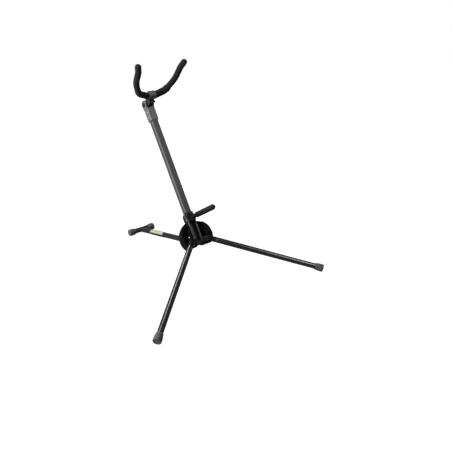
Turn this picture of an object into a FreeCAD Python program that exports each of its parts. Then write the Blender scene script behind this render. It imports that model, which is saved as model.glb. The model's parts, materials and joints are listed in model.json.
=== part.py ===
import FreeCAD, Part
import math
import os

# Folding tripod stand for an alto saxophone, in millimetres.
# World frame: +Z up, floor at z = 0, +Y towards the rear leg, symmetry plane YZ.
# Most pieces are drawn in the column frame: x across, y towards the back, z up the column.

# ---- driving dimensions -------------------------------------------------------------------
LEAN = 33.9                     # column leans back from vertical, degrees
BASE_Y = -32.19                 # column frame origin, on the column axis beside the hub
BASE_Z = 74.4
HINGE_H = 293.0                 # head hinge, measured up the column
FOOT_X = 201.5                  # centre of a front foot's end face
FOOT_Y = -199.09
CROSS_Y = 197.01                # cross bar of the rear leg
CROSS_HALF = 33.0               # half length over the end caps

TUBE_X, TUBE_Y, TUBE_WALL = 15.0, 12.6, 1.2
LEG_R, LEG_WALL = 5.8, 1.1
FOOT_R, FOOT_NECK_R, FOOT_LENGTH = 8.0, 6.9, 17.0
FRONT_FLAT, REAR_FLAT = 0.9, 0.4   # depth of the worn flats that meet the floor

LEG_AZIMUTH = 26.5              # front legs fold in planes this far forward of the X axis
LEG_PIVOT_R, LEG_PIVOT_H = 22.5, -7.5
REAR_PIVOT_Y, REAR_PIVOT_H = 15.8, -5.3
KNUCKLE_HALF = 4.0              # half thickness of a leg's hinge eye
EYE_R = 5.2
EAR_IN, EAR_OUT = 4.3, 7.3      # clevis ears, measured from the folding plane
PIN_R, PIN_GAP = 2.5, 0.05      # hinge pins and the radial clearance of their holes
TUBE_START = 12.0               # where a leg's tube begins, from its hinge pin

CHANNEL_IN, CHANNEL_OUT = 7.55, 8.8
CHANNEL_FRONT, CHANNEL_BACK = -7.5, 7.85
CHANNEL_LOW, CHANNEL_HIGH = -12.5, 52.0

PAD_R, PAD_SKIN, PAD_CORE = 35.2, 2.3, 15.5
PAD_CENTRE_H, PAD_LOW = 1.6, -18.5
PAD_FLAT, PAD_BEVEL = 8.0, 20.0    # half length of the level bottom and the rise beyond it
PAD_FRONT, PAD_REAR = 46.0, 60.0   # azimuths where a pad ends, forward and back of X
PAD_SIDE = 9.8                  # pads stay outside this distance from the middle
SLOT_HALF = 6.9                 # slot for the leg, each side of the folding plane

COLLAR_R, COLLAR_LOW, COLLAR_HIGH = 12.6, 35.5, 49.5
PEG_AZIMUTH, PEG_RISE, PEG_H = 58.5, 3.0, 42.5
PEG_ROD_R, PEG_FOAM_R = 2.4, 6.0
PEG_ROOT, PEG_FOAM_START, PEG_END = 9.4, 18.0, 64.0
SCREW_H = 51.0                  # set screw of the collar

YOKE_TILT = 35.2                # yoke plane leans forward from vertical
LINK_LENGTH = 16.0              # from the head hinge to the yoke hinge
ROD_R, FOAM_R, GRIP_R = 3.0, 6.3, 7.5
ARM_POINTS = [(1.5, 22.6), (31.0, 35.5), (45.5, 66.0), (47.2, 94.0), (51.6, 107.0)]
ARM_RADII = [22.0, 60.0, 40.0]
ROD_START = 0.031
GRIP_START, GRIP_END = 0.047, 0.37   # fractions of the arm's length under the inner foam

V = FreeCAD.Vector
X_AXIS, Z_AXIS = V(1, 0, 0), V(0, 0, 1)
SIDES = {"left": -1, "right": 1}


# ---- frames -------------------------------------------------------------------------------
COLUMN = FreeCAD.Placement(V(0, BASE_Y, BASE_Z), FreeCAD.Rotation(X_AXIS, -LEAN))
HEAD = FreeCAD.Placement(COLUMN.multVec(V(0, 0, HINGE_H)), FreeCAD.Rotation(X_AXIS, YOKE_TILT))
COLUMN_UP = COLUMN.Rotation.multVec(Z_AXIS)


def placed(shape, placement):
    out = shape.copy()
    out.transformShape(placement.toMatrix())
    return out


def fold_frame(side):
    """Column-frame placement of a front leg's folding plane: x outward, z up the column."""
    turn = -LEG_AZIMUTH if side > 0 else 180 + LEG_AZIMUTH
    return FreeCAD.Placement(V(0, 0, 0), FreeCAD.Rotation(Z_AXIS, turn))


def leg_pivot(side):
    local = fold_frame(side).multVec(V(LEG_PIVOT_R, 0, LEG_PIVOT_H))
    return COLUMN.multVec(local)


def foot_centre(side):
    return V(side * FOOT_X, FOOT_Y, FOOT_R - FRONT_FLAT)


def rear_pivot():
    return COLUMN.multVec(V(0, REAR_PIVOT_Y, REAR_PIVOT_H))


def cross_centre():
    return V(0, CROSS_Y, FOOT_R - REAR_FLAT)


def along(start, end, across):
    """Placement with origin at start, x towards end and y close to the given axis."""
    x = (end - start).normalize()
    z = x.cross(across).normalize()
    y = z.cross(x)
    rotation = FreeCAD.Rotation(x, y, z, "ZXY")
    return FreeCAD.Placement(start, rotation)


# ---- small builders -----------------------------------------------------------------------
def box(x0, x1, y0, y1, z0, z1):
    return Part.makeBox(x1 - x0, y1 - y0, z1 - z0, V(x0, y0, z0))


def rod(radius, start, end):
    return Part.makeCylinder(radius, (end - start).Length, start, end - start)


def tube(outer, wall, start, end):
    return rod(outer, start, end).cut(rod(outer - wall, start, end))


def cone(r0, r1, start, end):
    return Part.makeCone(r0, r1, (end - start).Length, start, end - start)


def rounded_bar(half_x, half_y, radius, z0, z1):
    bar = box(-half_x, half_x, -half_y, half_y, z0, z1)
    upright = [e for e in bar.Edges if abs(e.tangentAt(e.FirstParameter).z) > 0.99]
    return bar.makeFillet(radius, upright)


def hexagon(radius, start, axis, height):
    """Hexagonal prism, radius across the corners."""
    turn = FreeCAD.Rotation(Z_AXIS, axis)
    corners = [V(radius * math.cos(i * math.pi / 3), radius * math.sin(i * math.pi / 3), 0)
               for i in range(7)]
    face = Part.Face(Part.makePolygon(corners))
    prism = face.extrude(V(0, 0, height))
    return placed(prism, FreeCAD.Placement(start, turn))


def softened(shape, radius, keep=None):
    """Round every edge, or only those that keep() accepts."""
    edges = [e for e in shape.Edges if keep is None or keep(e)]
    return shape.makeFillet(radius, edges)


def column_tube():
    outer = rounded_bar(TUBE_X / 2, TUBE_Y / 2, 2.5, COLLAR_LOW + 2, HINGE_H - 10)
    half_x, half_y = TUBE_X / 2 - TUBE_WALL, TUBE_Y / 2 - TUBE_WALL
    inner = rounded_bar(half_x, half_y, 1.4, COLLAR_LOW + 1, HINGE_H - 9)
    rivets = [rod(1.6, V(-20, 0, h), V(20, 0, h)) for h in RIVET_HEIGHTS]
    return outer.cut(inner).cut(Part.makeCompound(rivets))


RIVET_HEIGHTS = [42.5, 264.0, 276.0]


def lower_channel():
    outer = box(-CHANNEL_OUT, CHANNEL_OUT, CHANNEL_FRONT, CHANNEL_BACK, CHANNEL_LOW, CHANNEL_HIGH)
    upright = [e for e in outer.Edges if abs(e.tangentAt(e.FirstParameter).z) > 0.99
               and e.CenterOfMass.y > 0]
    outer = outer.makeFillet(1.3, upright)
    gap = box(-CHANNEL_IN, CHANNEL_IN, CHANNEL_FRONT - 1, TUBE_Y / 2 + 0.05, CHANNEL_LOW - 1,
              CHANNEL_HIGH + 1)
    channel = outer.cut(gap)
    holes = [rod(1.6, V(-20, 0, RIVET_HEIGHTS[0]), V(20, 0, RIVET_HEIGHTS[0])),
             rod(2.6, V(-20, 0, HUB_BOLT_H), V(20, 0, HUB_BOLT_H))]
    holes += [rod(1.6, a, b) for a, b in strap_screw_lines()]
    return channel.cut(Part.makeCompound(holes))


HUB_BOLT_H = -9.5
STRAP_H = 11.0


def hub_core():
    core = box(-7.4, 7.4, -4.5, 6.0, -16.0, -5.5)
    front = [e for e in core.Edges if e.CenterOfMass.y < -4.4 or e.CenterOfMass.z < -15.9]
    core = core.makeFillet(2.0, front)
    return core.cut(rod(2.6, V(-20, 0, HUB_BOLT_H), V(20, 0, HUB_BOLT_H)))


def hub_bolt():
    shank = rod(2.5, V(-CHANNEL_OUT, 0, HUB_BOLT_H), V(CHANNEL_OUT, 0, HUB_BOLT_H))
    head = hexagon(4.6, V(-CHANNEL_OUT, 0, HUB_BOLT_H), V(-1, 0, 0), 2.6)
    nut = hexagon(4.6, V(CHANNEL_OUT, 0, HUB_BOLT_H), V(1, 0, 0), 2.6)
    return shank.fuse([head, nut])


def column_rivets():
    out = []
    for h in RIVET_HEIGHTS:
        half = CHANNEL_OUT if h < 100 else SLEEVE_X
        body = rod(1.55, V(-half, 0, h), V(half, 0, h))
        caps = []
        for sign in (-1, 1):
            caps.append(cone(2.8, 1.6, V(sign * half, 0, h), V(sign * (half + 0.9), 0, h)))
        out.append(body.fuse(caps))
    return Part.makeCompound(out)


# ---- hub hinges ---------------------------------------------------------------------------
def front_clevis(side):
    """Two ears on a base plate that is bolted to the channel's flank."""
    frame = fold_frame(side)
    ears = []
    for sign in (-1, 1):
        y0, y1 = sorted((sign * EAR_IN, sign * EAR_OUT))
        disc = rod(EYE_R + 0.5, V(LEG_PIVOT_R, y0, LEG_PIVOT_H), V(LEG_PIVOT_R, y1, LEG_PIVOT_H))
        plate = box(2, LEG_PIVOT_R, y0, y1, LEG_PIVOT_H - EYE_R - 0.5, LEG_PIVOT_H + EYE_R + 0.5)
        ears.append(disc.fuse(plate))
    pin = rod(PIN_R, V(LEG_PIVOT_R, -20, LEG_PIVOT_H), V(LEG_PIVOT_R, 20, LEG_PIVOT_H))
    ears = placed(ears[0].fuse(ears[1]).cut(pin), frame)
    low, high = LEG_PIVOT_H - EYE_R - 0.5, LEG_PIVOT_H + EYE_R + 0.5
    x0, x1 = sorted((side * CHANNEL_OUT, side * 11.5))
    base = box(x0, x1, -12.5, 3.4, low, high)
    x0, x1 = sorted((side * CHANNEL_OUT, side * 60))
    outside = box(x0, x1, -40, 40, -60, 60)
    bolt_room = rod(5.2, V(side * 5, 0, HUB_BOLT_H), V(side * 11.6, 0, HUB_BOLT_H))
    return ears.common(outside).fuse(base).cut(bolt_room).removeSplitter()


def front_pin(side):
    span = EAR_OUT
    shank = rod(PIN_R, V(LEG_PIVOT_R, -span, LEG_PIVOT_H), V(LEG_PIVOT_R, span, LEG_PIVOT_H))
    heads = []
    for sign in (-1, 1):
        start = V(LEG_PIVOT_R, sign * span, LEG_PIVOT_H)
        heads.append(cone(4.0, 2.8, start, start + V(0, sign * 1.5, 0)))
    return placed(shank.fuse(heads), fold_frame(side))


def rear_clevis():
    base = box(-EAR_OUT, EAR_OUT, CHANNEL_BACK, CHANNEL_BACK + 1.5, REAR_PIVOT_H - 8, STRAP_H - 6)
    parts = []
    for sign in (-1, 1):
        x0, x1 = sorted((sign * EAR_IN, sign * EAR_OUT))
        disc = rod(EYE_R + 0.5, V(x0, REAR_PIVOT_Y, REAR_PIVOT_H), V(x1, REAR_PIVOT_Y, REAR_PIVOT_H))
        plate = box(x0, x1, CHANNEL_BACK, REAR_PIVOT_Y, REAR_PIVOT_H - 5.7, REAR_PIVOT_H + 5.7)
        parts.append(disc.fuse(plate))
    pin = rod(PIN_R, V(-20, REAR_PIVOT_Y, REAR_PIVOT_H), V(20, REAR_PIVOT_Y, REAR_PIVOT_H))
    return base.fuse(parts).cut(pin).removeSplitter()


def rear_pin():
    centre = V(0, REAR_PIVOT_Y, REAR_PIVOT_H)
    half = V(EAR_OUT, 0, 0)
    shank = rod(PIN_R, centre - half, centre + half)
    heads = [hexagon(4.4, centre + half, X_AXIS, 2.4), hexagon(4.4, centre - half, -X_AXIS, 2.4)]
    return shank.fuse(heads)


# ---- legs ---------------------------------------------------------------------------------
def leg_frame(pivot, end, hinge_axis):
    """x along the leg, y along the hinge pin."""
    return along(pivot, end, hinge_axis)


def knuckle():
    """Hinge eye at the origin with a plug that fits the leg's tube, drawn along +x."""
    eye = rod(EYE_R, V(0, -KNUCKLE_HALF, 0), V(0, KNUCKLE_HALF, 0))
    shank = box(0, TUBE_START, -KNUCKLE_HALF, KNUCKLE_HALF, -EYE_R, EYE_R)
    plug = rod(LEG_R - LEG_WALL - 0.05, V(TUBE_START - 1, 0, 0), V(TUBE_START + 16, 0, 0))
    shoulder = rod(LEG_R, V(-TUBE_START, 0, 0), V(TUBE_START, 0, 0))
    body = eye.fuse(shank.common(shoulder)).fuse(plug)
    hole = rod(PIN_R + PIN_GAP, V(0, -9, 0), V(0, 9, 0))
    rivet = rod(1.3, V(TUBE_START + 8, -9, 0), V(TUBE_START + 8, 9, 0))
    return body.cut(hole).cut(rivet).removeSplitter()


def knuckle_rivet():
    x = TUBE_START + 8
    body = rod(1.25, V(x, -LEG_R, 0), V(x, LEG_R, 0))
    caps = [cone(2.0, 1.2, V(x, s * (LEG_R - 0.3), 0), V(x, s * (LEG_R + 0.6), 0)) for s in (-1, 1)]
    return body.fuse(caps)


def leg_tube(length):
    body = tube(LEG_R, LEG_WALL, V(TUBE_START, 0, 0), V(length, 0, 0))
    return body.cut(knuckle_rivet())


def rubber_foot(length):
    """Flared cup on the tube's end, with a shallow recess in its end face."""
    neck, end = V(length - FOOT_LENGTH, 0, 0), V(length, 0, 0)
    flare = V(length - FOOT_LENGTH * 0.45, 0, 0)
    body = cone(FOOT_NECK_R, FOOT_R, neck, flare).fuse(rod(FOOT_R, flare, end))
    body = softened(body.removeSplitter(), 0.8, lambda e: e.CenterOfMass.x > length - 0.1)
    recess = rod(FOOT_R - 2.4, V(length - 0.8, 0, 0), V(length + 1, 0, 0))
    bore = rod(LEG_R + 0.03, V(0, 0, 0), V(length - 3.0, 0, 0))
    return body.cut(recess).cut(bore)


def floor_cut(shape):
    """Flatten whatever dips below the floor."""
    return shape.cut(box(-500, 500, -500, 500, -60, 0))


def front_leg(side):
    """Tube, knuckle, rivet and foot of one front leg in the world frame."""
    pivot, end = leg_pivot(side), foot_centre(side)
    axis = hinge_direction(side)
    frame = leg_frame(pivot, end, axis)
    length = (end - pivot).Length
    return {
        "tube": placed(leg_tube(length - 3.2), frame),
        "knuckle": placed(knuckle(), frame),
        "rivet": placed(knuckle_rivet(), frame),
        "foot": floor_cut(placed(rubber_foot(length), frame)),
    }


def hinge_direction(side):
    """Unit axis about which a front leg turns up towards the column."""
    return (foot_centre(side) - leg_pivot(side)).cross(COLUMN_UP).normalize()


def cross_cap(side, end):
    """Rubber cap on one end of the rear leg's cross bar."""
    tip = end + V(side * CROSS_HALF, 0, 0)
    inner = end + V(side * (CROSS_HALF - 16), 0, 0)
    body = cone(FOOT_NECK_R, FOOT_R, inner, inner + V(side * 6, 0, 0))
    body = body.fuse(rod(FOOT_R, inner + V(side * 6, 0, 0), tip)).removeSplitter()
    body = softened(body, 2.2, lambda e: abs(e.CenterOfMass.x - tip.x) < 0.1)
    bore = rod(LEG_R + 0.03, V(0, end.y, end.z), tip - V(side * 3, 0, 0))
    return floor_cut(body.cut(bore))


def rear_leg():
    """Everything that folds with the rear leg, in the world frame."""
    pivot, end = rear_pivot(), cross_centre()
    frame = leg_frame(pivot, end, X_AXIS)
    length = (end - pivot).Length
    reach = V(CROSS_HALF - 3.4, 0, 0)
    saddle = rod(LEG_R + 0.02, end - reach, end + reach)
    bar = tube(LEG_R, LEG_WALL, end - reach, end + reach)
    band = tube(LEG_R + 0.35, 0.3, V(LABEL_START, 0, 0), V(LABEL_END, 0, 0))
    return {
        "rear_leg_tube": placed(leg_tube(length), frame).cut(saddle),
        "rear_leg_knuckle": placed(knuckle(), frame),
        "rear_leg_rivet": placed(knuckle_rivet(), frame),
        "rear_leg_cross_bar": bar,
        "rear_leg_cap_left": cross_cap(-1, end),
        "rear_leg_cap_right": cross_cap(1, end),
        "rear_leg_band": placed(band, frame),
    }


LABEL_START, LABEL_END = 118.0, 172.0


# ---- bell pads ----------------------------------------------------------------------------
def pad_zone(side):
    """Block of space that a pad may fill: one flank of the hub, open in front and behind."""
    reach = 60
    start = math.radians(-PAD_FRONT)
    stop = math.radians(PAD_REAR)
    corners = [V(0, 0, PAD_LOW)]
    for angle in (start, start * 0.4, stop * 0.4, stop):
        corners.append(V(side * reach * math.cos(angle), reach * math.sin(angle), PAD_LOW))
    face = Part.Face(Part.makePolygon(corners + corners[:1]))
    wedge = face.extrude(V(0, 0, 80))
    x0, x1 = sorted((side * PAD_SIDE, side * 80))
    zone = wedge.common(box(x0, x1, -80, 80, PAD_LOW, 80))
    for sign in (-1, 1):
        y0, y1 = sorted((0, sign * 80))
        turned = FreeCAD.Placement(V(0, sign * PAD_FLAT, PAD_LOW),
                                   FreeCAD.Rotation(X_AXIS, sign * PAD_BEVEL))
        zone = zone.cut(placed(box(-90, 90, y0, y1, -60, 0), turned))
    return zone


def leg_slot(side, half):
    """Space that a front leg sweeps on its way up to the column, open at the top."""
    pivot = V(LEG_PIVOT_R, 0, LEG_PIVOT_H)
    local_foot = COLUMN.inverse().multVec(foot_centre(side))
    local_foot = fold_frame(side).inverse().multVec(local_foot)
    down = (local_foot - pivot).normalize()
    normal = V(down.z, 0, -down.x).normalize()
    if normal.z > 0:
        normal = normal * -1
    low_in, low_out = pivot + normal * (half + 0.4), pivot + normal * (half + 0.4) + down * 60
    inner = low_in.x - EYE_R - 3
    corners = [V(inner, -half, low_in.z), V(low_in.x, -half, low_in.z),
               V(low_out.x, -half, low_out.z), V(low_out.x, -half, 90), V(inner, -half, 90)]
    face = Part.Face(Part.makePolygon(corners + corners[:1]))
    return placed(face.extrude(V(0, 2 * half, 0)), fold_frame(side))


def pad_layer(side, outer, thickness, slot_half):
    centre = V(0, 0, PAD_CENTRE_H)
    ball = Part.makeSphere(outer, centre).cut(Part.makeSphere(outer - thickness, centre))
    return ball.common(pad_zone(side)).cut(leg_slot(side, slot_half))


def bell_pad(side):
    return pad_layer(side, PAD_R, PAD_SKIN, SLOT_HALF)


def clevis_room(side):
    """Space kept free round a front leg's hinge."""
    reach = LEG_PIVOT_R + EYE_R + 2.0
    low, high = LEG_PIVOT_H - EYE_R - 2.0, LEG_PIVOT_H + EYE_R + 2.0
    return placed(box(0, reach, -EAR_OUT - 2.2, EAR_OUT + 2.2, low, high), fold_frame(side))


def pad_core(side):
    """Flocked core under the velvet, in two parts with the leg's slot between them."""
    core = pad_layer(side, PAD_R - PAD_SKIN, PAD_CORE, SLOT_HALF).cut(clevis_room(side))
    core = core.cut(box(-STRAP_HALF - 0.1, STRAP_HALF + 0.1, CHANNEL_BACK - 0.05,
                        CHANNEL_BACK + 2.8, STRAP_H - 4.55, STRAP_H + 4.55))
    return core.cut(Part.makeCompound([rod(1.6, a, b) for a, b in strap_screw_lines()]))


STRAP_HALF = 26.0


def strap_screw_lines():
    """Axes of the strap's screws: two into the channel's web, one into each core."""
    front = {4.5: TUBE_Y / 2 + 0.1, 19.5: 1.0}
    return [(V(s * x, y, STRAP_H), V(s * x, CHANNEL_BACK + 1.5, STRAP_H))
            for x, y in front.items() for s in (-1, 1)]


def pad_strap():
    """Flat bar across the channel's back that carries both cores."""
    bar = box(-STRAP_HALF, STRAP_HALF, CHANNEL_BACK, CHANNEL_BACK + 1.5, STRAP_H - 4.5,
              STRAP_H + 4.5)
    return bar.cut(Part.makeCompound([rod(1.6, a, b) for a, b in strap_screw_lines()]))


def pad_screws():
    out = []
    for start, end in strap_screw_lines():
        head = cone(2.4, 1.8, end, end + V(0, 0.9, 0))
        out.append(rod(1.55, start, end).fuse(head))
    return Part.makeCompound(out)


# ---- support pegs -------------------------------------------------------------------------
def peg_line(side):
    """Start, direction and side of one peg in the column frame."""
    angle, rise = math.radians(PEG_AZIMUTH), math.radians(PEG_RISE)
    flat = V(side * math.cos(angle), -math.sin(angle), 0)
    direction = (flat * math.cos(rise) + V(0, 0, math.sin(rise))).normalize()
    return V(0, 0, PEG_H), direction


def peg_rod(side):
    origin, direction = peg_line(side)
    return rod(PEG_ROD_R, origin + direction * (PEG_ROOT + 1.0), origin + direction * (PEG_END - 9))


def peg_foam(side):
    origin, direction = peg_line(side)
    start, end = origin + direction * PEG_FOAM_START, origin + direction * (PEG_END - PEG_FOAM_R)
    body = rod(PEG_FOAM_R, start, end).fuse(Part.makeSphere(PEG_FOAM_R, end)).removeSplitter()
    body = softened(body, 1.2, lambda e: (e.CenterOfMass - start).Length < 0.5)
    bore = rod(PEG_ROD_R + 0.03, origin, origin + direction * (PEG_END - 8.9))
    return body.cut(bore)


def peg_collar():
    ring = rod(COLLAR_R, V(0, 0, COLLAR_LOW), V(0, 0, COLLAR_HIGH))
    ring = ring.common(box(-40, 40, -40, CHANNEL_BACK + 1.5, 0, 100))
    ring = softened(ring, 1.0, lambda e: abs(e.CenterOfMass.z - PEG_H) > 6.5)
    sockets = []
    for side in (-1, 1):
        origin, direction = peg_line(side)
        sockets.append(rod(4.6, origin + direction * 4, origin + direction * 15.5))
    boss = rod(4.4, V(0, -7, SCREW_H), V(0, -13.0, SCREW_H))
    body = ring.fuse(sockets).fuse(boss)
    hole = box(-CHANNEL_OUT - 0.05, CHANNEL_OUT + 0.05, CHANNEL_FRONT - 0.05, CHANNEL_BACK + 0.02,
               0, 100)
    body = body.cut(hole)
    for side in (-1, 1):
        origin, direction = peg_line(side)
        start = origin + direction * (PEG_ROOT + 1.0)
        body = body.cut(rod(PEG_ROD_R + 0.02, start, origin + direction * 20))
    body = body.cut(rod(2.05, V(0, 0, SCREW_H), V(0, -20, SCREW_H)))
    return body.cut(rod(3.2, V(-20, 0, PEG_H), V(20, 0, PEG_H)))


def collar_screw():
    """Set screw with a ribbed round head in the front of the collar."""
    shank = rod(2.0, V(0, -TUBE_Y / 2 - 0.1, SCREW_H), V(0, -14, SCREW_H))
    head = rod(3.4, V(0, -13.1, SCREW_H), V(0, -16.6, SCREW_H))
    head = softened(head, 0.6, lambda e: e.CenterOfMass.y < -16.5)
    flutes = []
    for i in range(8):
        a = i * math.pi / 4
        at = V(3.7 * math.cos(a), 0, SCREW_H + 3.7 * math.sin(a))
        flutes.append(rod(0.6, at + V(0, -12, 0), at + V(0, -18, 0)))
    return head.cut(Part.makeCompound(flutes)).fuse(shank)


# ---- head ---------------------------------------------------------------------------------
SLEEVE_X, SLEEVE_Y = 9.0, 7.9
SLEEVE_LOW, SLEEVE_HIGH = 257.0, 284.0
HEAD_EAR_IN, HEAD_EAR_R = 6.2, 9.0


def head_sleeve():
    """Rectangular sleeve over the tube's top that ends in two hinge ears."""
    body = rounded_bar(SLEEVE_X, SLEEVE_Y, 1.8, SLEEVE_LOW, SLEEVE_HIGH + 1)
    hollow = rounded_bar(TUBE_X / 2 + 0.05, TUBE_Y / 2 + 0.05, 2.5, SLEEVE_LOW - 1, HINGE_H - 10)
    body = body.cut(hollow)
    for sign in (-1, 1):
        x0, x1 = sorted((sign * HEAD_EAR_IN, sign * SLEEVE_X))
        disc = rod(HEAD_EAR_R, V(x0, 0, HINGE_H), V(x1, 0, HINGE_H))
        plate = box(x0, x1, -SLEEVE_Y, SLEEVE_Y, SLEEVE_HIGH, HINGE_H)
        body = body.fuse(disc.fuse(plate))
    holes = [rod(3.0, V(-20, 0, HINGE_H), V(20, 0, HINGE_H))]
    holes += [rod(1.6, V(-20, 0, h), V(20, 0, h)) for h in RIVET_HEIGHTS[1:]]
    return body.cut(Part.makeCompound(holes)).removeSplitter()


def head_bolt():
    shank = rod(2.95, V(-SLEEVE_X, 0, HINGE_H), V(SLEEVE_X + 4.4, 0, HINGE_H))
    head = rod(4.2, V(-SLEEVE_X, 0, HINGE_H), V(-SLEEVE_X - 1.9, 0, HINGE_H))
    head = softened(head, 0.7, lambda e: e.CenterOfMass.x < -SLEEVE_X - 1.8)
    socket = hexagon(2.1, V(-SLEEVE_X - 0.7, 0, HINGE_H), V(-1, 0, 0), 3.0)
    return shank.fuse(head).cut(socket)


def head_nut():
    nut = hexagon(4.9, V(SLEEVE_X, 0, HINGE_H), X_AXIS, 3.6)
    return nut.cut(rod(3.0, V(0, 0, HINGE_H), V(30, 0, HINGE_H)))


# ---- tilt link, drawn in the head frame: z along the yoke, origin on the head hinge ---------
LINK_HALF = 5.6


def tilt_link():
    """Plastic block: head hinge eye, fork for the yoke's tongue and a housing underneath."""
    near = rod(7.2, V(-LINK_HALF, 0, 0), V(LINK_HALF, 0, 0))
    far = rod(5.2, V(-LINK_HALF, 0, LINK_LENGTH), V(LINK_HALF, 0, LINK_LENGTH))
    web = box(-LINK_HALF, LINK_HALF, -5.2, 5.2, 0, LINK_LENGTH)
    housing = box(-LINK_HALF, LINK_HALF, -10.8, 0, 7.5, 19.5)
    housing = softened(housing, 1.2, lambda e: e.CenterOfMass.y < -10.7)
    body = near.fuse([far, web, housing])
    pins = [rod(2.95 + PIN_GAP, V(-9, 0, 0), V(9, 0, 0)),
            rod(2.5, V(-9, 0, LINK_LENGTH), V(9, 0, LINK_LENGTH))]
    fork = box(-TONGUE_HALF - 0.2, TONGUE_HALF + 0.2, -5.5, 9, LINK_LENGTH - 5.6, 30)
    lever_slot = box(-2.6, 2.6, -12.5, -5.3, LEVER_Z - 3.0, 22)
    lever_hole = rod(1.2, V(-9, LEVER_Y, LEVER_Z), V(9, LEVER_Y, LEVER_Z))
    body = body.cut(Part.makeCompound(pins)).cut(fork).cut(lever_slot)
    return body.cut(lever_hole).removeSplitter()


LEVER_Y, LEVER_Z, LEVER_ANGLE = -7.9, 14.8, 38.0


def yoke_pin():
    return rod(2.5, V(-5.5, 0, LINK_LENGTH), V(5.5, 0, LINK_LENGTH))


def lever_pin():
    half = LINK_HALF - 0.1
    return rod(1.2, V(-half, LEVER_Y, LEVER_Z), V(half, LEVER_Y, LEVER_Z))


def release_lever():
    """Thumb lever that pokes out under the link."""
    eye = rod(2.3, V(-2.2, LEVER_Y, LEVER_Z), V(2.2, LEVER_Y, LEVER_Z))
    arm = box(-2.2, 2.2, -1.3, 1.3, 0, 7.6)
    tab = softened(rod(2.2, V(-3.8, 0, 8.2), V(3.8, 0, 8.2)), 0.8)
    turned = FreeCAD.Placement(V(0, LEVER_Y, LEVER_Z), FreeCAD.Rotation(X_AXIS, LEVER_ANGLE))
    body = placed(arm.fuse(tab), turned).fuse(eye)
    hole = rod(1.2 + PIN_GAP, V(-9, LEVER_Y, LEVER_Z), V(9, LEVER_Y, LEVER_Z))
    return body.cut(hole).removeSplitter()


# ---- yoke, also in the head frame ----------------------------------------------------------
TONGUE_HALF = 2.85
TROUGH_HALF, TROUGH_FRONT, TROUGH_BACK = 8.4, -7.9, 5.6
TROUGH_LOW, TROUGH_HIGH = 21.9, 34.4
SLIM_GRIP_R = 6.8


def arm_route(side):
    """Arm centre line: straight runs joined by tangent arcs, in the plane y = 0."""
    points = [V(side * x, 0, z) for x, z in ARM_POINTS]
    edges = []
    last = points[0]
    for i, radius in enumerate(ARM_RADII, start=1):
        before = (points[i] - points[i - 1]).normalize()
        after = (points[i + 1] - points[i]).normalize()
        turn = before.getAngle(after)
        setback = radius * math.tan(turn / 2)
        first, second = points[i] - before * setback, points[i] + after * setback
        inward = (after - before).normalize()
        middle = points[i] + inward * (radius / math.cos(turn / 2) - radius)
        edges.append(Part.LineSegment(last, first).toShape())
        edges.append(Part.Arc(first, middle, second).toShape())
        last = second
    edges.append(Part.LineSegment(last, points[-1]).toShape())
    return edges


def sweep(edges, radius):
    wire = Part.Wire(edges)
    start = edges[0].Vertexes[0].Point
    direction = edges[0].tangentAt(edges[0].FirstParameter)
    circle = Part.Wire([Part.makeCircle(radius, start, direction)])
    return wire.makePipeShell([circle], True, True)


def split_route(edges, fraction):
    """Cut a route in two at a fraction of its length."""
    total = sum(e.Length for e in edges)
    left, done = [], 0.0
    for index, edge in enumerate(edges):
        if done + edge.Length >= total * fraction:
            at = edge.getParameterByLength(total * fraction - done)
            first = edge.Curve.toShape(edge.FirstParameter, at)
            second = edge.Curve.toShape(at, edge.LastParameter)
            return left + [first], [second] + edges[index + 1:]
        left.append(edge)
        done += edge.Length
    return left, []


def rod_route(side):
    """The arm's line without the short run above the link's fork."""
    return split_route(arm_route(side), ROD_START)[1]


def yoke_rod(side):
    return sweep(rod_route(side), ROD_R)


def yoke_foam(side):
    route = arm_route(side)
    outer_route = split_route(route, GRIP_END)[1]
    tip = Part.makeSphere(FOAM_R, V(side * ARM_POINTS[-1][0], 0, ARM_POINTS[-1][1]))
    body = sweep(outer_route, FOAM_R).fuse(tip)
    return body.cut(sweep(route, ROD_R + 0.03))


def yoke_grip(side):
    """Inner foam sleeve, stouter on the right arm where the foam is bunched up."""
    radius = GRIP_R if side > 0 else SLIM_GRIP_R
    route = split_route(arm_route(side), GRIP_END)[0]
    beyond_bracket = split_route(route, GRIP_START / GRIP_END)[1]
    return sweep(beyond_bracket, radius).cut(sweep(arm_route(side), ROD_R + 0.03))


def yoke_bracket():
    """Metal trough that carries both arms, on a tongue that turns in the link's fork."""
    trough = box(-TROUGH_HALF, TROUGH_HALF, TROUGH_FRONT, TROUGH_BACK, TROUGH_LOW, TROUGH_HIGH)
    trough = softened(trough, 1.2)
    disc = rod(5.0, V(-TONGUE_HALF, 0, LINK_LENGTH), V(TONGUE_HALF, 0, LINK_LENGTH))
    shank = box(-TONGUE_HALF, TONGUE_HALF, -4.5, 4.5, LINK_LENGTH, 24.5)
    body = trough.fuse([disc, shank])
    body = body.cut(rod(2.5 + PIN_GAP, V(-20, 0, LINK_LENGTH), V(20, 0, LINK_LENGTH)))
    for side in (-1, 1):
        route = arm_route(side)
        room = GRIP_R if side > 0 else SLIM_GRIP_R
        beyond = split_route(split_route(route, GRIP_END)[0], (GRIP_START - 0.004) / GRIP_END)[1]
        body = body.cut(sweep(rod_route(side), ROD_R + 0.03)).cut(sweep(beyond, room + 0.03))
    return body.removeSplitter()


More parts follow.
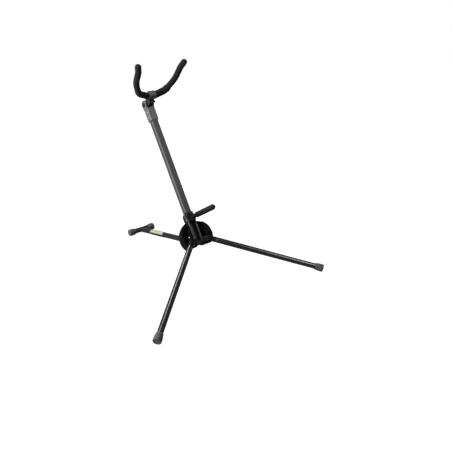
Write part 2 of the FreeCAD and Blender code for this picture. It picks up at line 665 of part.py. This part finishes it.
# ---- assembly -----------------------------------------------------------------------------
def stand_nodes():
    """Every node of the stand in the world frame."""
    in_column = {
        "column_tube": column_tube(),
        "column_rivets": column_rivets(),
        "lower_channel": lower_channel(),
        "hub_core": hub_core(),
        "hub_bolt": hub_bolt(),
        "rear_clevis": rear_clevis(),
        "rear_pivot_pin": rear_pin(),
        "pad_strap": pad_strap(),
        "pad_screws": pad_screws(),
        "peg_collar": peg_collar(),
        "collar_screw": collar_screw(),
        "head_sleeve": head_sleeve(),
        "head_bolt": head_bolt(),
        "head_nut": head_nut(),
    }
    in_head = {
        "tilt_link": tilt_link(),
        "yoke_pin": yoke_pin(),
        "lever_pin": lever_pin(),
        "release_lever": release_lever(),
        "yoke_bracket": yoke_bracket(),
    }
    nodes = dict(rear_leg())
    for name, side in SIDES.items():
        in_column["front_clevis_" + name] = front_clevis(side)
        in_column["front_pivot_pin_" + name] = front_pin(side)
        in_column["bell_pad_" + name] = bell_pad(side)
        in_column["pad_core_" + name] = pad_core(side)
        in_column["peg_rod_" + name] = peg_rod(side)
        in_column["peg_foam_" + name] = peg_foam(side)
        in_head["yoke_rod_" + name] = yoke_rod(side)
        in_head["yoke_foam_" + name] = yoke_foam(side)
        in_head["yoke_grip_" + name] = yoke_grip(side)
        for piece, shape in front_leg(side).items():
            nodes["front_leg_%s_%s" % (piece, name)] = shape
    for name, shape in in_column.items():
        nodes[name] = placed(shape, COLUMN)
    for name, shape in in_head.items():
        nodes[name] = placed(shape, HEAD)
    return nodes


def main():
    os.makedirs("parts", exist_ok=True)
    whole = FreeCAD.BoundBox()
    for name, shape in sorted(stand_nodes().items()):
        shape.exportStep("parts/%s.step" % name)
        whole.add(shape.BoundBox)
        print("%-26s solids %d valid %s volume %.1f" % (
            name, len(shape.Solids), shape.isValid(), shape.Volume))
    print("box x %.2f %.2f y %.2f %.2f z %.2f %.2f" % (
        whole.XMin, whole.XMax, whole.YMin, whole.YMax, whole.ZMin, whole.ZMax))


main()
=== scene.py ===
import bpy
import bmesh
import json
import math
from mathutils import Matrix, Vector, noise


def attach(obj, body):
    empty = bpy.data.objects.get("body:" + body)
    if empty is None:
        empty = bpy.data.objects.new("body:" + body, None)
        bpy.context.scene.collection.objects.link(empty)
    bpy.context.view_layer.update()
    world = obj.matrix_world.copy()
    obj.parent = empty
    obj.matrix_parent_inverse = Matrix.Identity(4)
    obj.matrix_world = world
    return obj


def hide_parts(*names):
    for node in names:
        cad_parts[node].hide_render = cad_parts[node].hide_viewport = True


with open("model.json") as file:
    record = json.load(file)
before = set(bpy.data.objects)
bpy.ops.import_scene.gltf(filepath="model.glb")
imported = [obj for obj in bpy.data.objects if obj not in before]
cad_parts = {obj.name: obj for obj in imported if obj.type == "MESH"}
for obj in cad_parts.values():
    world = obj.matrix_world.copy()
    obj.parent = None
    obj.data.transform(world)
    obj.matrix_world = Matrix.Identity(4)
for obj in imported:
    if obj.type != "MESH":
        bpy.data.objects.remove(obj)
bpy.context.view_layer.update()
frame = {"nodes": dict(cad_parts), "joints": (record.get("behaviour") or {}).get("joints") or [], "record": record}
nodes = frame["nodes"]
joints = {j["name"]: j for j in frame["joints"]}

# ---- design sizes -------------------------------------------------------------------------
# The column and head frames are in metres.
MM = 0.001
LEAN = math.radians(33.9)
YOKE_TILT = math.radians(35.2)
HINGE_H = 293.0 * MM
HEAD_ORIGIN = Vector(joints["tilt_yoke_link"]["pos_m"])
COLUMN_UP = Vector((0, math.sin(LEAN), math.cos(LEAN)))
COLUMN_ORIGIN = HEAD_ORIGIN - COLUMN_UP * HINGE_H
COLUMN = Matrix.Translation(COLUMN_ORIGIN) @ Matrix.Rotation(-LEAN, 4, "X")
HEAD = Matrix.Translation(HEAD_ORIGIN) @ Matrix.Rotation(YOKE_TILT, 4, "X")
SIDES = {"left": -1, "right": 1}

# Yoke and peg sizes are in millimetres; the grip starts and ends at a share of the arm.
ARM_POINTS = [(1.5, 22.6), (31.0, 35.5), (45.5, 66.0), (47.2, 94.0), (51.6, 107.0)]
ARM_RADII = [22.0, 60.0, 40.0]
FOAM_R, GRIP_R, SLIM_GRIP_R, PEG_R = 6.3, 7.5, 6.8, 6.0
GRIP_START, GRIP_END = 0.047, 0.37
PEG_AZIMUTH, PEG_RISE, PEG_H = math.radians(58.5), math.radians(3.0), 42.5
PEG_FOAM_START, PEG_END = 18.0, 64.0
FOAM_GAP, GRIP_OVERLAP = 0.005, 0.008   # shares of the arm where foam and grip meet
CURVE_STEP = 0.25                       # spacing of points along a yoke arm
FINE_STEP, COARSE_STEP = 0.2, 0.7       # spacing of rings near a sleeve's ends and between
FINE_START, FINE_MARGIN = 1.6, 0.4      # length of the finely spaced ends
END_ROUND = 1.2                         # rounding of a sleeve's cut end
SMALLEST_RING = 0.12
RIB_PITCH, RIB_DEPTHS = 2.9, {-1: 0.09, 1: 0.28}
# How far each skin is drawn in from its solid before its noise.
FOAM_INSET, GRIP_INSET, PEG_INSET = 0.12, 0.15, 0.1
# Roughness of foam and pile, in metres, and the scale of its noise.
SKIN_NOISE, SKIN_NOISE_SCALE = 0.00012, 170.0
PILE_VOXEL, PILE_NOISE, PILE_NOISE_SCALE = 0.0007, 0.00022, 240.0

# ---- staging ------------------------------------------------------------------------------
FLOOR_SIZE, FLOOR_DROP, BACKDROP_RADIUS = 24.0, 0.0002, 11.5
WORLD_STRENGTH = 0.12
LIGHT_TARGET = (0, 0, 0.15)
# name: place, width, height, power
LIGHTS = {
    "left": ((-1.9, 0.25, 0.75), 0.8, 1.4, 66),
    "front_top": ((0.45, -1.1, 1.5), 0.4, 0.4, 7),
    "behind_top": ((0.25, 1.2, 1.6), 0.35, 1.5, 16),
}
CAMERA_PLACE = (-0.5742, -0.8596, 0.5732)
CAMERA_AZIMUTH, CAMERA_ELEVATION = math.radians(-38.2), math.radians(25.16)
CAMERA_LENS, CAMERA_SENSOR = 43.8, 36.0


# ---- material helpers -----------------------------------------------------------------------
class Nodes:
    """A material and short ways to add nodes to it."""

    def __init__(self, name, colour, rough, metallic=0.0):
        self.material = bpy.data.materials.new(name)
        self.material.use_nodes = True
        self.tree = self.material.node_tree
        self.shader = self.tree.nodes["Principled BSDF"]
        self.set(self.shader, "Base Color", (*colour, 1))
        self.set(self.shader, "Roughness", rough)
        self.set(self.shader, "Metallic", metallic)
        self.coordinates = self.tree.nodes.new("ShaderNodeTexCoord").outputs
        self.place = self.coordinates["Object"]

    def set(self, node, socket, value):
        node.inputs[socket].default_value = value

    def link(self, a, b):
        self.tree.links.new(a, b)

    def noise(self, scale, detail=4.0, rough=0.5, stretch=None):
        n = self.tree.nodes.new("ShaderNodeTexNoise")
        self.set(n, "Scale", scale)
        self.set(n, "Detail", detail)
        self.set(n, "Roughness", rough)
        self.link(self.stretched(stretch) if stretch else self.place, n.inputs["Vector"])
        return n.outputs["Fac"]

    def voronoi(self, scale):
        n = self.tree.nodes.new("ShaderNodeTexVoronoi")
        self.set(n, "Scale", scale)
        self.link(self.place, n.inputs["Vector"])
        return n.outputs["Distance"]

    def stretched(self, scale):
        n = self.tree.nodes.new("ShaderNodeMapping")
        n.inputs["Scale"].default_value = scale
        self.link(self.place, n.inputs["Vector"])
        return n.outputs["Vector"]

    def spread(self, value, low, high, to_low, to_high):
        n = self.tree.nodes.new("ShaderNodeMapRange")
        self.link(value, n.inputs["Value"])
        for key, number in zip(("From Min", "From Max", "To Min", "To Max"),
                               (low, high, to_low, to_high)):
            self.set(n, key, number)
        return n.outputs["Result"]

    def mix_colour(self, value, dark, light):
        n = self.tree.nodes.new("ShaderNodeMix")
        n.data_type = "RGBA"
        self.link(value, n.inputs["Factor"])
        n.inputs["A"].default_value = (*dark, 1)
        n.inputs["B"].default_value = (*light, 1)
        return n.outputs["Result"]

    def math(self, kind, a, b):
        n = self.tree.nodes.new("ShaderNodeMath")
        n.operation = kind
        for socket, value in zip(n.inputs, (a, b)):
            if isinstance(value, float):
                socket.default_value = value
            else:
                self.link(value, socket)
        return n.outputs["Value"]

    def bump(self, height, distance, strength=1.0, before=None):
        n = self.tree.nodes.new("ShaderNodeBump")
        self.set(n, "Strength", strength)
        self.set(n, "Distance", distance)
        self.link(height, n.inputs["Height"])
        if before:
            self.link(before, n.inputs["Normal"])
        self.link(n.outputs["Normal"], self.shader.inputs["Normal"])
        return n.outputs["Normal"]


def enamel(name, colour, light, rough, coat=0.0, peel=900.0, peel_depth=0.00002):
    """Baked paint: faint mottling, orange peel and a few rubbed patches."""
    m = Nodes(name, colour, rough)
    mottle = m.noise(55.0, 5.0, 0.6)
    m.link(m.mix_colour(m.spread(mottle, 0.35, 0.7, 0.0, 1.0), colour, light),
           m.shader.inputs["Base Color"])
    rub = m.spread(m.noise(210.0, 6.0, 0.65), 0.4, 0.7, rough - 0.05, rough + 0.09)
    m.link(rub, m.shader.inputs["Roughness"])
    m.set(m.shader, "Coat Weight", coat)
    m.set(m.shader, "Coat Roughness", 0.2)
    m.bump(m.noise(peel, 3.0), peel_depth, 0.6)
    return m.material


def metal(name, colour, light, rough, direction):
    """Bare or plated metal with fine grinding marks along one direction."""
    m = Nodes(name, colour, rough, 0.55)
    grain = m.noise(160.0, 6.0, 0.7, stretch=direction)
    m.link(m.mix_colour(m.spread(grain, 0.3, 0.75, 0.0, 1.0), colour, light),
           m.shader.inputs["Base Color"])
    m.link(m.spread(grain, 0.3, 0.75, rough - 0.06, rough + 0.1), m.shader.inputs["Roughness"])
    m.bump(grain, 0.00002, 0.5)
    return m.material


def plastic(name, colour, light, rough, grain=1400.0):
    """Moulded plastic or rubber with a fine spark-eroded grain."""
    m = Nodes(name, colour, rough)
    wear = m.noise(70.0, 5.0, 0.6)
    m.link(m.mix_colour(m.spread(wear, 0.35, 0.75, 0.0, 1.0), colour, light),
           m.shader.inputs["Base Color"])
    m.link(m.spread(wear, 0.3, 0.8, rough - 0.06, rough + 0.08), m.shader.inputs["Roughness"])
    m.set(m.shader, "Specular IOR Level", 0.35)
    m.bump(m.noise(grain, 2.0, 0.7), 0.00004, 0.7)
    return m.material


def foam_material():
    """Closed-cell foam rubber: small open pores and a dusty skin."""
    m = Nodes("foam", (0.02, 0.02, 0.021), 0.92)
    dust = m.noise(85.0, 6.0, 0.65)
    m.link(m.mix_colour(m.spread(dust, 0.35, 0.75, 0.0, 1.0), (0.008, 0.008, 0.0085),
                        (0.018, 0.018, 0.019)), m.shader.inputs["Base Color"])
    m.set(m.shader, "Specular IOR Level", 0.25)
    m.set(m.shader, "Sheen Weight", 0.05)
    m.set(m.shader, "Sheen Roughness", 0.6)
    pores = m.spread(m.voronoi(1900.0), 0.0, 0.55, 0.0, 1.0)
    skin = m.bump(pores, 0.00016, 0.85)
    m.bump(m.noise(420.0, 4.0, 0.6), 0.00018, 0.6, before=skin)
    return m.material


def velvet_material():
    """Short black pile, brushed into soft patches."""
    m = Nodes("velvet", (0.006, 0.006, 0.0065), 0.95)
    brushed = m.noise(95.0, 5.0, 0.6)
    m.link(m.mix_colour(m.spread(brushed, 0.3, 0.75, 0.0, 1.0), (0.0018, 0.0018, 0.0019),
                        (0.006, 0.006, 0.0062)), m.shader.inputs["Base Color"])
    m.set(m.shader, "Specular IOR Level", 0.1)
    m.set(m.shader, "Sheen Weight", 0.05)
    m.set(m.shader, "Sheen Roughness", 0.35)
    pile = m.bump(m.noise(2600.0, 3.0, 0.75), 0.00030, 0.9)
    m.bump(m.noise(130.0, 4.0, 0.6), 0.00035, 0.5, before=pile)
    return m.material


def label_material():
    """Plain pale film on the black tube; painted shade turns it black on faces that point down, so only the upper
    side shows pale.
    """
    m = Nodes("band_film", (0.5, 0.46, 0.3), 0.4)
    parts = m.tree.nodes.new("ShaderNodeSeparateXYZ")
    m.link(m.coordinates["Normal"], parts.inputs["Vector"])
    # painted shade: the film is pale on faces that point up and black on faces that point down
    painted_light_by_facing = m.spread(parts.outputs["Z"], 0.12, 0.3, 0.0, 1.0)
    wear = m.spread(m.noise(300.0, 5.0, 0.6), 0.3, 0.75, 0.82, 1.0)
    # the dark colour is painted shade on the film's lower side; the pale colour is the film's own
    m.link(m.mix_colour(m.math("MULTIPLY", painted_light_by_facing, wear), (0.012, 0.012, 0.0125),
                        (0.46, 0.42, 0.27)), m.shader.inputs["Base Color"])
    m.bump(m.noise(600.0, 3.0), 0.00003, 0.5)
    return m.material


COLUMN_PAINT = enamel("column_paint", (0.060, 0.060, 0.062), (0.076, 0.076, 0.078), 0.42)
CHANNEL_METAL = enamel("channel_metal", (0.075, 0.075, 0.077), (0.095, 0.095, 0.097), 0.38)
SLEEVE_METAL = metal("sleeve_metal", (0.15, 0.15, 0.152), (0.21, 0.21, 0.21), 0.55, (1, 1, 0.05))
LEG_PAINT = enamel("leg_paint", (0.012, 0.012, 0.0125), (0.017, 0.017, 0.0175), 0.24, coat=0.8,
                   peel_depth=0.000006)
BLACK_PLASTIC = plastic("black_plastic", (0.010, 0.010, 0.0105), (0.018, 0.018, 0.0185), 0.5)
HARDWARE = metal("hardware", (0.16, 0.16, 0.163), (0.24, 0.24, 0.24), 0.42, (1, 1, 1))
BLACK_HARDWARE = enamel("black_hardware", (0.012, 0.012, 0.0125), (0.018, 0.018, 0.0185), 0.34)
RUBBER = plastic("rubber_tip", (0.065, 0.065, 0.067), (0.10, 0.10, 0.102), 0.62, 900.0)
BAND = label_material()
FOAM = foam_material()
VELVET = velvet_material()

SLOT_MATERIAL = {
    "column_paint": COLUMN_PAINT,
    "channel_metal": CHANNEL_METAL,
    "sleeve_metal": SLEEVE_METAL,
    "leg_paint": LEG_PAINT,
    "black_plastic": BLACK_PLASTIC,
    "hardware": HARDWARE,
    "black_hardware": BLACK_HARDWARE,
    "velvet": VELVET,
    "foam": FOAM,
    "rubber_tip": RUBBER,
    "band_film": BAND,
}
for part in frame["record"]["subparts"]:
    piece = nodes[part["node"]]
    piece.data.materials.clear()
    piece.data.materials.append(SLOT_MATERIAL[part["material_slot"]])


# ---- mesh helpers -------------------------------------------------------------------------
def add_piece(name, mesh, body, material, replaces=()):
    piece = bpy.data.objects.new(name, mesh)
    bpy.context.scene.collection.objects.link(piece)
    mesh.materials.clear()
    mesh.materials.append(material)
    for face in mesh.polygons:
        face.use_smooth = True
    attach(piece, body)
    if replaces:
        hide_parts(*replaces)
    return piece


def tube_mesh(name, centres, radii, sides=40):
    """Closed tube through the centres, one ring of the given radius at each; the ends close."""
    bm = bmesh.new()
    rings = []
    side = Vector((0, 1, 0))
    for i, (centre, radius) in enumerate(zip(centres, radii)):
        before = centres[max(i - 1, 0)]
        after = centres[min(i + 1, len(centres) - 1)]
        forward = (after - before).normalized()
        across = forward.cross(side).normalized()
        up = across.cross(forward).normalized()
        ring = []
        for k in range(sides):
            a = 2 * math.pi * k / sides
            ring.append(bm.verts.new(centre + (across * math.cos(a) + up * math.sin(a)) * radius))
        rings.append(ring)
    for low, high in zip(rings, rings[1:]):
        for k in range(sides):
            bm.faces.new((low[k], low[(k + 1) % sides], high[(k + 1) % sides], high[k]))
    bm.faces.new(rings[0][::-1])
    bm.faces.new(rings[-1])
    bmesh.ops.recalc_face_normals(bm, faces=bm.faces)
    mesh = bpy.data.meshes.new(name)
    bm.to_mesh(mesh)
    bm.free()
    return mesh


def arm_line():
    """Points along the right arm's centre line in the head frame, in millimetres."""
    points = [Vector((x, 0, z)) for x, z in ARM_POINTS]
    line = [points[0]]
    for i, radius in enumerate(ARM_RADII, start=1):
        before = (points[i] - points[i - 1]).normalized()
        after = (points[i + 1] - points[i]).normalized()
        turn = before.angle(after)
        setback = radius * math.tan(turn / 2)
        first = points[i] - before * setback
        centre = first + (after - before * before.dot(after)).normalized() * radius
        axis = before.cross(after).normalized()
        for k in range(13):
            line.append(centre + Matrix.Rotation(turn * k / 12, 3, axis) @ (first - centre))
    line.append(points[-1])
    return resample(line, CURVE_STEP)


def resample(line, step):
    total = sum((b - a).length for a, b in zip(line, line[1:]))
    count = max(2, round(total / step))
    out, index, done = [line[0]], 0, 0.0
    for k in range(1, count):
        target = total * k / count
        while done + (line[index + 1] - line[index]).length < target:
            done += (line[index + 1] - line[index]).length
            index += 1
        share = (target - done) / (line[index + 1] - line[index]).length
        out.append(line[index].lerp(line[index + 1], share))
    return out + [line[-1]]


def foam_tube(line, radius, ribs=0.0, tip=True, seed=0.0):
    """Centres and radii of a foam sleeve with a soft skin, rounded ends and faint ribs."""
    total = sum((b - a).length for a, b in zip(line, line[1:]))
    centres, radii = [], []
    done = 0.0
    start_round, tip_round = END_ROUND, radius
    for i, point in enumerate(line):
        if i:
            done += (point - line[i - 1]).length
        r = radius * (1 + 0.018 * noise.noise(Vector((done * 0.12, seed, 0))))
        if ribs:
            r += ribs * math.sin(2 * math.pi * done / RIB_PITCH)
        if done < start_round:
            r -= start_round - math.sqrt(max(0.0, start_round ** 2 - (start_round - done) ** 2))
        left = total - done
        end_round = tip_round if tip else start_round
        if left < end_round:
            inner = radius - end_round
            r = inner + math.sqrt(max(0.0, end_round ** 2 - (end_round - left) ** 2)) * (r / radius)
        centres.append(point)
        radii.append(max(r, SMALLEST_RING))
    return centres, radii


def roughen(mesh, amount, scale):
    """Push every vertex a little along its normal by smooth noise, to break up a perfect form."""
    mesh.update()
    normals = [v.normal.copy() for v in mesh.vertices]
    places = [v.co.copy() for v in mesh.vertices]
    moved = [c + n * (noise.noise(c * scale) * amount) for c, n in zip(places, normals)]
    mesh.vertices.foreach_set("co", [x for c in moved for x in c])
    mesh.update()


def fine_ends(line, radius):
    """Extra points near both ends so that the rounding there is smooth."""
    total = sum((b - a).length for a, b in zip(line, line[1:]))
    dense = resample(line, FINE_STEP)
    out, done, kept = [dense[0]], 0.0, 0.0
    for a, b in zip(dense, dense[1:]):
        done += (b - a).length
        near = done < FINE_START or total - done < radius + FINE_MARGIN
        if near or done - kept >= COARSE_STEP:
            out.append(b)
            kept = done
    if (out[-1] - dense[-1]).length > 1e-6:
        out.append(dense[-1])
    return out


def cut_line(line, start, stop):
    """Stretch of a line between two shares of its length."""
    total = sum((b - a).length for a, b in zip(line, line[1:]))
    out, done = [], 0.0
    for i, point in enumerate(line):
        if i:
            done += (point - line[i - 1]).length
        if start * total - 1e-6 <= done <= stop * total + 1e-6:
            out.append(point)
    return out


# ---- foam on the yoke and pegs ----------------------------------------------------------------
def build_yoke_foam(name, side):
    grip_radius = GRIP_R if side > 0 else SLIM_GRIP_R
    line = [Vector((side * p.x, 0, p.z)) for p in arm_line()]
    beyond = (line[-1] - line[-2]).normalized() * FOAM_R
    outer = cut_line(line, GRIP_END + FOAM_GAP, 1.0) + [line[-1] + beyond]
    inner = cut_line(line, GRIP_START, GRIP_END + GRIP_OVERLAP)
    pieces = {
        "yoke_foam_" + name: foam_tube(fine_ends(outer, FOAM_R), FOAM_R - FOAM_INSET, seed=side),
        "yoke_grip_" + name: foam_tube(fine_ends(inner, END_ROUND), grip_radius - GRIP_INSET,
                                       ribs=RIB_DEPTHS[side], tip=False, seed=3 + side),
    }
    for node, (centres, radii) in pieces.items():
        mesh = tube_mesh(node + "_soft", [c * MM for c in centres], [r * MM for r in radii])
        roughen(mesh, SKIN_NOISE, SKIN_NOISE_SCALE)
        mesh.transform(HEAD)
        piece = add_piece(node + "_soft", mesh, "yoke", FOAM, [node])


def build_peg_foam(name, side):
    flat = Vector((side * math.cos(PEG_AZIMUTH), -math.sin(PEG_AZIMUTH), 0))
    way = flat * math.cos(PEG_RISE) + Vector((0, 0, math.sin(PEG_RISE)))
    start = Vector((0, 0, PEG_H)) + way * PEG_FOAM_START
    end = Vector((0, 0, PEG_H)) + way * PEG_END
    centres, radii = foam_tube(fine_ends([start, end], PEG_R), PEG_R - PEG_INSET, seed=7 + side)
    node = "peg_foam_" + name
    mesh = tube_mesh(node + "_soft", [c * MM for c in centres], [r * MM for r in radii])
    roughen(mesh, SKIN_NOISE, SKIN_NOISE_SCALE)
    mesh.transform(COLUMN)
    piece = add_piece(node + "_soft", mesh, "column", FOAM, [node])


# ---- velvet pads --------------------------------------------------------------------------
def build_velvet(name):
    """Pile fabric with rolled edges, grown from the pad's skin and its core; the core is a black solid filling the
    pad's leg slot, standing in for the shade there.
    """
    # pad_core is a black filler put in the pad's leg slot as painted shade
    sources = ["bell_pad_" + name, "pad_core_" + name]
    bm = bmesh.new()
    for source in sources:
        bm.from_mesh(nodes[source].data)
    mesh = bpy.data.meshes.new(name + "_velvet")
    bm.to_mesh(mesh)
    bm.free()
    piece = add_piece("bell_pad_" + name + "_velvet", mesh, "column", VELVET, sources)
    remesh = piece.modifiers.new("grow", "REMESH")
    remesh.mode = "VOXEL"
    remesh.voxel_size = PILE_VOXEL
    smooth = piece.modifiers.new("roll", "SMOOTH")
    smooth.factor = 0.5
    smooth.iterations = 5
    apply_modifiers(piece)
    roughen(piece.data, PILE_NOISE, PILE_NOISE_SCALE)
    for face in piece.data.polygons:
        face.use_smooth = True


def apply_modifiers(piece):
    graph = bpy.context.evaluated_depsgraph_get()
    graph.update()
    mesh = bpy.data.meshes.new_from_object(piece.evaluated_get(graph))
    old = piece.data
    piece.modifiers.clear()
    piece.data = mesh
    mesh.name = piece.name
    bpy.data.meshes.remove(old)


# ---- build --------------------------------------------------------------------------------
for side_name, side_sign in SIDES.items():
    build_yoke_foam(side_name, side_sign)
    build_peg_foam(side_name, side_sign)
    build_velvet(side_name)

for cad in nodes.values():
    for face in cad.data.polygons:
        face.use_smooth = True


# ---- floor, light and camera ------------------------------------------------------------------
def stage_material(name, grey, glow):
    """Matt surface with enough glow of its own to look white and even to the horizon."""
    m = Nodes(name, (grey, grey, grey), 0.9)
    m.set(m.shader, "Specular IOR Level", 0.1)
    m.set(m.shader, "Emission Color", (1, 1, 1, 1))
    m.set(m.shader, "Emission Strength", glow)
    return m.material


def add_floor():
    bpy.ops.mesh.primitive_plane_add(size=FLOOR_SIZE, location=(0, 0, -FLOOR_DROP))
    floor = bpy.context.object
    floor.name = "floor"
    floor.data.materials.append(stage_material("floor", 0.22, 0.98))
    bpy.ops.mesh.primitive_uv_sphere_add(segments=48, ring_count=24,
                                         radius=BACKDROP_RADIUS)
    backdrop = bpy.context.object
    backdrop.name = "backdrop"
    backdrop.data.materials.append(stage_material("backdrop", 0.02, 1.0))
    backdrop.visible_shadow = False
    for piece in (floor, backdrop):
        piece.visible_diffuse = False
        piece.visible_glossy = False


def add_light(name, place, width, height, power):
    data = bpy.data.lights.new(name, "AREA")
    data.shape = "RECTANGLE"
    data.size = width
    data.size_y = height
    data.energy = power
    light = bpy.data.objects.new(name, data)
    bpy.context.scene.collection.objects.link(light)
    light.location = place
    light.rotation_mode = "QUATERNION"
    light.rotation_quaternion = (Vector(LIGHT_TARGET) - Vector(place)).to_track_quat("-Z", "Y")


def add_camera():
    back = Vector((math.sin(CAMERA_AZIMUTH) * math.cos(CAMERA_ELEVATION),
                   -math.cos(CAMERA_AZIMUTH) * math.cos(CAMERA_ELEVATION),
                   math.sin(CAMERA_ELEVATION)))
    data = bpy.data.cameras.new("camera")
    data.sensor_width = CAMERA_SENSOR
    data.lens = CAMERA_LENS
    camera = bpy.data.objects.new("camera", data)
    bpy.context.scene.collection.objects.link(camera)
    camera.location = CAMERA_PLACE
    camera.rotation_mode = "QUATERNION"
    camera.rotation_quaternion = (-back).to_track_quat("-Z", "Y")
    bpy.context.scene.camera = camera


add_floor()
for light_name, (place, width, height, power) in LIGHTS.items():
    add_light(light_name, place, width, height, power)
world = bpy.data.worlds.new("world")
bpy.context.scene.world = world
world.use_nodes = True
world.node_tree.nodes["Background"].inputs["Color"].default_value = (1, 1, 1, 1)
world.node_tree.nodes["Background"].inputs["Strength"].default_value = WORLD_STRENGTH
bpy.context.scene.view_settings.view_transform = "Standard"
add_camera()
